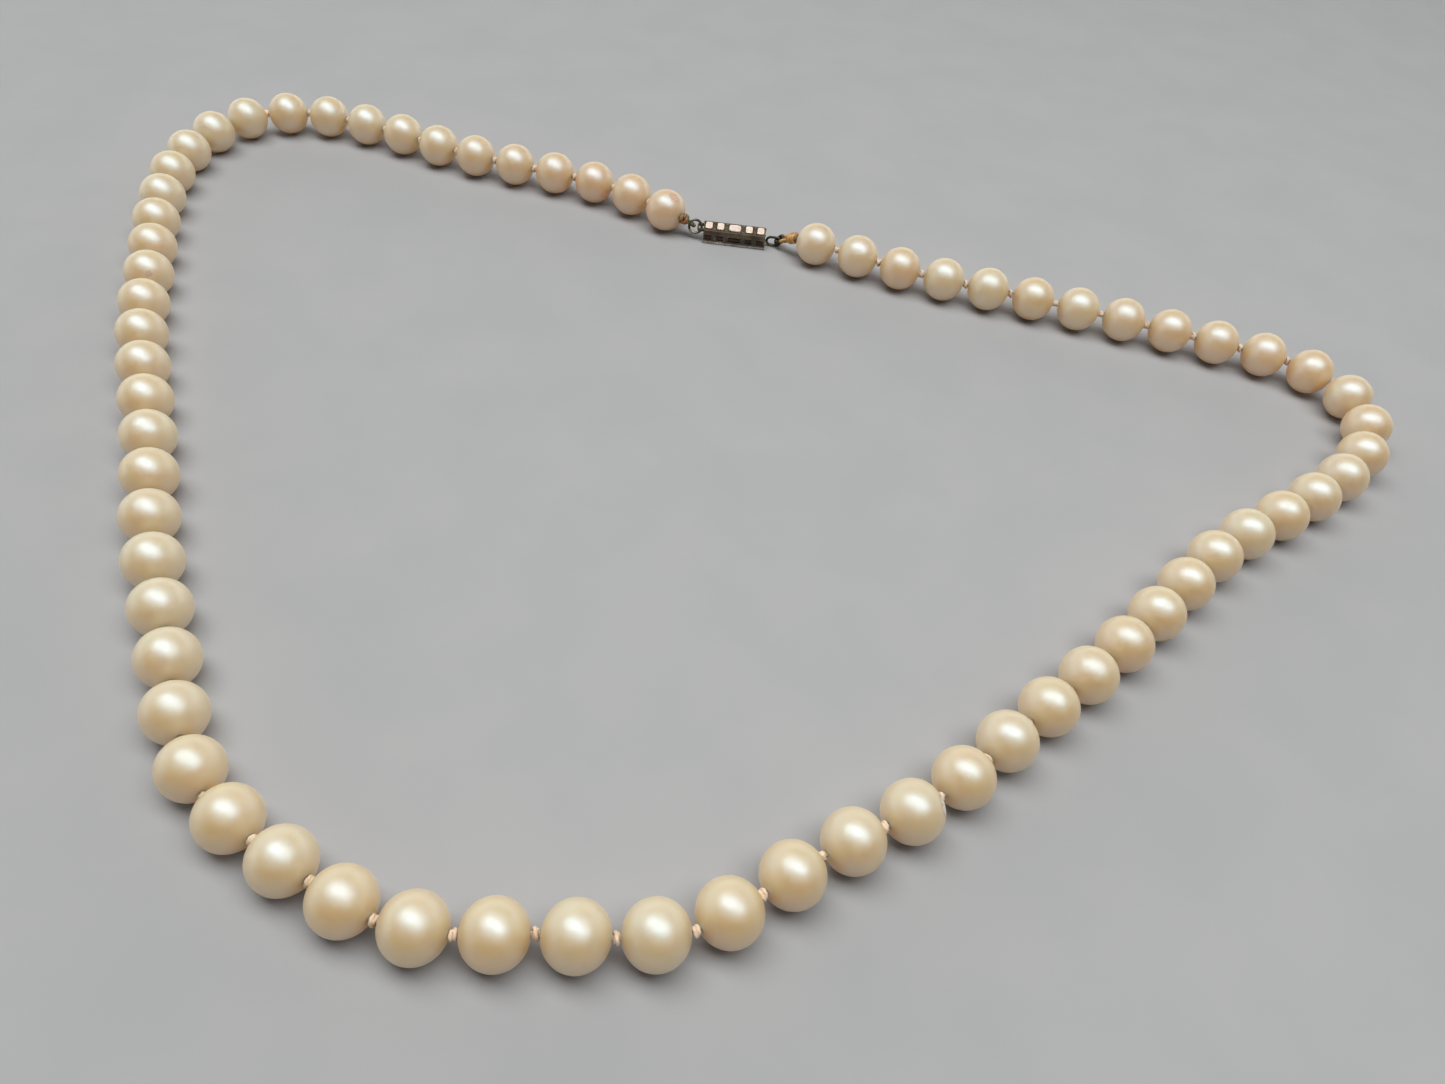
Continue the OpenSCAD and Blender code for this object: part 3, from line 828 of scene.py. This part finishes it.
def dress_gimp(node, body, knot, coil_material, silk_material, chance, whip, girth):
    """A gimp loop: coiled wire in the CAD loop's place, the silk inside it, and its whipping."""
    path, reach, length = loop_of(node, knot)
    coil = Piece(node + ".coil")
    wind_coil(coil, path, reach, length, chance)
    coil.make(body, coil_material, [node])
    core = Piece(node + ".core")
    core.add(*tube(path, CORE_R, 10, closed=True, lobes=2, lobe_depth=0.15, lobe_turns=8),
             soiled=1.0)
    core.make(body, silk_material)
    wrap = Piece(node + ".whipping")
    whip_legs(wrap, path, reach, knot, whip, girth)
    wrap.make(body, coil_material)


# ---------------------------------------------------------------------------------------------
# Clasp
# ---------------------------------------------------------------------------------------------

SHARP_EDGE = 25  # degrees
STONES = ("small_stones", "centre_stone")
CENTRE_STONE_HALF = 1.1  # only the centre stone is wider than this either way
STONE_CORNER = 0.36  # 1 would be an ellipse, 0 a rectangle
STONE_AROUND = 64
CUP_STEPS = 9
CUP_INSET = 0.06
CUP_FRONT, CUP_BACK = 0.2, 0.32  # behind the face of the gallery's wall
CUP_HALF_HEIGHT = 0.6
CUP_BULGE = 0.08
EYE_WIRE_R = 0.25
CRUST_START, CRUST_SPAN = -78, 150  # degrees around the far end of the hook's eye
CRUST_STEPS = 40
BEAD_ROWS = 7
CLAW_HALF, CLAW_IN = 0.34, 0.12  # a claw's half width across the rail, and its way in
BAR_HALF = 1.2
RING_CUT, RING_SPAN = 232, 357  # degrees around the ring
RING_STEPS = 90


def paint(node, material):
    """Gives a CAD node that is shown as it is its material."""
    NODES[node].data.materials.clear()
    NODES[node].data.materials.append(material)


def soften(node, width, material):
    """Rounds the edges of a CAD node, and gives it its material."""
    weld = NODES[node].modifiers.new("weld", "WELD")
    weld.merge_threshold = WELD
    bevel = NODES[node].modifiers.new("bevel", "BEVEL")
    bevel.width = width * MM
    bevel.segments = 3
    bevel.limit_method = "ANGLE"
    bevel.angle_limit = math.radians(SHARP_EDGE)
    bevel.harden_normals = True
    paint(node, material)


def box_of(node):
    """The lowest and highest corner of a CAD node, in millimetres."""
    return [np.array(v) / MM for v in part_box(node)]


def bead(at, size, around=12):
    """A small drop of metal: half a squashed ball, open below where it meets the rail."""
    points = []
    for k in range(BEAD_ROWS):
        a = k / (BEAD_ROWS - 1) * math.pi / 2
        for j in range(around):
            b = 2 * math.pi * j / around
            points.append((at[0] + size[0] * math.cos(a) * math.cos(b),
                           at[1] + size[1] * math.cos(a) * math.sin(b),
                           at[2] + size[2] * math.sin(a)))
    return points, band_faces(BEAD_ROWS, around)


# Rings of a cut stone from the girdle up and in: part of the half width, part of the height,
# and how dark it is made towards its setting
STONE_RINGS = [(1.0, 0.0, 1.0), (1.0, 0.55, 1.0), (0.9, 0.78, 0.9), (0.74, 0.92, 0.66),
               (0.56, 1.0, 0.4), (0.3, 1.0, 0.15)]
STONE_LINE = 0.62  # painted shade: a dark line along the middle of the centre stone, where its ridge splits the highlight


def cut_stones(node, material):
    """Step-cut stones with rounded corners, each in its CAD stone's own box."""
    piece = Piece(node + ".cut")
    count, rows = STONE_AROUND, len(STONE_RINGS)
    angle = np.linspace(0, 2 * math.pi, count, endpoint=False)
    outline = np.stack([np.cos(angle), np.sin(angle)], 1)
    outline = np.sign(outline) * np.abs(outline) ** STONE_CORNER
    faces = band_faces(rows, count)
    last, top, bottom = (rows - 1) * count, rows * count, rows * count + 1
    faces += [[last + k, last + (k + 1) % count, top] for k in range(count)]
    faces += [[(k + 1) % count, k, bottom] for k in range(count)]
    for points in solids_of(node):
        low, high = points.min(0), points.max(0)
        middle, half = (low + high) / 2, (high - low) / 2
        has_line = half[0] > CENTRE_STONE_HALF
        made, edge = [], []
        for wide, rise, darkening in STONE_RINGS:
            inset = (1 - wide) * min(half[:2])
            flat = outline * (half[:2] - inset)
            z = np.full((count, 1), low[2] + rise * (high[2] - low[2]))
            made.append(np.hstack([middle[:2] + flat, z]))
            # Painted shade: a dark line along the middle of the centre stone, where its ridge splits
            # the highlight
            line = np.exp(-(flat[:, 0] / 0.14) ** 2) * STONE_LINE if has_line else 0.0
            edge.append(np.maximum(darkening, line) + 0 * flat[:, 0])
        made.append([[middle[0], middle[1], high[2]]])
        edge.append([STONE_LINE if has_line else 0.0])
        made.append([[middle[0], middle[1], low[2]]])
        edge.append([1.0])
        piece.add(np.vstack(made), faces, edge=np.concatenate(edge))
    piece.make(BODY_OF[node], material, [node])


def window_backs(material):
    """Dark foil cups seen through the windows of the gallery, behind the stones."""
    low, high = box_of("clasp_gallery")
    z = (low[2] + high[2]) / 2
    piece = Piece("clasp_gallery.cups")
    faces = band_faces(CUP_STEPS, 4)
    last = 4 * (CUP_STEPS - 1)
    faces += [[0, 1, 2, 3], [last + 3, last + 2, last + 1, last]]
    for node in STONES:
        for points in solids_of(node):
            a, b = points[:, 0].min() + CUP_INSET, points[:, 0].max() - CUP_INSET
            for y, out in ((low[1], 1), (high[1], -1)):
                front, back = y + CUP_FRONT * out, y + CUP_BACK * out
                rows = []
                for k in np.linspace(-1, 1, CUP_STEPS):
                    near = front - CUP_BULGE * (1 - k * k) * out
                    x = (a + b) / 2 + (b - a) / 2 * k
                    rows += [(x, near, z - CUP_HALF_HEIGHT), (x, near, z + CUP_HALF_HEIGHT),
                             (x, back, z + CUP_HALF_HEIGHT), (x, back, z - CUP_HALF_HEIGHT)]
                piece.add(rows, faces)
    piece.make("back", material)


def eye_crust(material):
    """Green-black corrosion swollen round the far end of the hook's eye."""
    low, high = box_of("hook_eye")
    bend = (high[1] - low[1]) / 2 - EYE_WIRE_R
    middle = (low + high) / 2
    centre = np.array([high[0] - EYE_WIRE_R - bend, middle[1], middle[2]])
    t = np.linspace(0, 1, CRUST_STEPS)
    angle = np.radians(CRUST_START + CRUST_SPAN * t)
    path = centre + bend * np.stack([np.cos(angle), np.sin(angle), 0 * angle], 1)
    lumps = 0.7 + 0.3 * np.sin(t * 23) + 0.2 * np.sin(t * 47)
    radius = EYE_WIRE_R + 0.02 + 0.13 * np.sin(math.pi * t) * lumps
    piece = Piece("hook_eye.crust")
    piece.add(*tube(path, radius, 16, lobes=5, lobe_depth=0.12, lobe_turns=3))
    piece.make("hook_end", material)


def stone_claws(material):
    """Claws pushed over the stones' corners, and a worn bar along each gap between stones."""
    low, high = box_of("stone_rail")
    stones = sorted((p[:, 0].min(), p[:, 0].max(), p[:, 1].min(), p[:, 1].max())
                    for n in STONES for p in solids_of(n))
    edges = [low[0]] + [x for s in stones for x in s[:2]] + [high[0]]
    piece = Piece("stone_rail.claws")
    for a, b in zip(edges[::2], edges[1::2]):
        middle, wide = (a + b) / 2, (b - a) / 2
        for y, lean in ((stones[0][2], -1), (stones[0][3], 1)):
            piece.add(*bead((middle, y - lean * CLAW_IN, high[2] - 0.05),
                            (wide + 0.1, CLAW_HALF, 0.3 if lean > 0 else 0.24)))
        piece.add(*bead((middle, (low[1] + high[1]) / 2, high[2] - 0.04),
                        (wide * 0.85, BAR_HALF, 0.1), around=16))
    piece.make("back", material)


def jump_ring(material):
    """The ring's wire, cut and closed with a fine seam."""
    points = solids_of("jump_ring")[0]
    centre = (points.min(0) + points.max(0)) / 2
    _, _, axes = np.linalg.svd(points - centre)
    wire_r = np.ptp((points - centre) @ axes[2]) / 2
    ring_r = np.linalg.norm(points - centre, axis=1).max() - wire_r
    angle = np.radians(np.linspace(RING_CUT, RING_CUT + RING_SPAN, RING_STEPS))
    path = centre + ring_r * (np.cos(angle)[:, None] * axes[0] + np.sin(angle)[:, None] * axes[1])
    radius = np.full(RING_STEPS, wire_r)
    radius[[0, -1]] *= 0.86  # the seam
    piece = Piece("jump_ring.wire")
    piece.add(*tube(path, radius, 16))
    piece.make("ring", material, ["jump_ring"])


# ---------------------------------------------------------------------------------------------
# Build
# ---------------------------------------------------------------------------------------------

bpy.context.scene.view_settings.view_transform = "Standard"
make_camera()
make_lamp()
make_room()
make_table(table_top())

strand = read_pearls()
knots = read_knots(strand)
silk = silk_thread()
dress_pearls(strand, nacre())
dress_silk(strand, knots, silk)

dress_gimp("left_gimp", "back", knots[0],
           gimp_wire("green_gimp", linear(120, 92, 62), linear(170, 140, 100),
                     linear(60, 98, 58), 0.44, copper=0.8),
           silk, random.Random(1), whip=1.3, girth=1.12)
dress_gimp("right_gimp", "hook_end", knots[-1],
           gimp_wire("gold_gimp", linear(176, 128, 70), linear(222, 178, 116),
                     linear(70, 56, 40), 0.58, dark_near=0.7),
           silk, random.Random(2), whip=1.9, girth=0.98)

walls = old_metal("oxidised_walls", linear(78, 68, 52), linear(116, 104, 82), linear(150, 138, 112),
                  grime_at=0.46, metallic=0.35)
cups = old_metal("foil_cups", linear(52, 34, 28), linear(74, 50, 42), linear(90, 64, 54),
                 grime_at=0.5, metallic=0.1)
crust = old_metal("crust", linear(34, 40, 28), linear(58, 76, 52), linear(84, 104, 76), rough=0.7,
                  verdigris=0.8, metallic=0.0)
plate = old_metal("worn_plate", linear(140, 134, 124), linear(196, 192, 184),
                  linear(222, 218, 210), rough=0.36, grime_at=0.55)
wire = old_metal("dark_wire", linear(74, 68, 60), linear(142, 136, 126), linear(196, 190, 180),
                 rough=0.3, grime_at=0.48)
eye = old_metal("corroded_wire", linear(62, 58, 50), linear(120, 114, 102), linear(170, 164, 152),
                rough=0.34, grime_at=0.48, verdigris=0.9)

soften("clasp_base_plate", 0.09, plate)
soften("clasp_gallery", 0.04, walls)
soften("stone_rail", 0.06, walls)
paste = paste_stone()
cut_stones("small_stones", paste)
cut_stones("centre_stone", paste)
window_backs(cups)
eye_crust(crust)
soften("hook_tongue", 0.05, plate)
soften("hook_spring", 0.05, plate)
soften("ring_lug", 0.08, walls)
paint("hook_eye", eye)
stone_claws(walls)
jump_ring(wire)
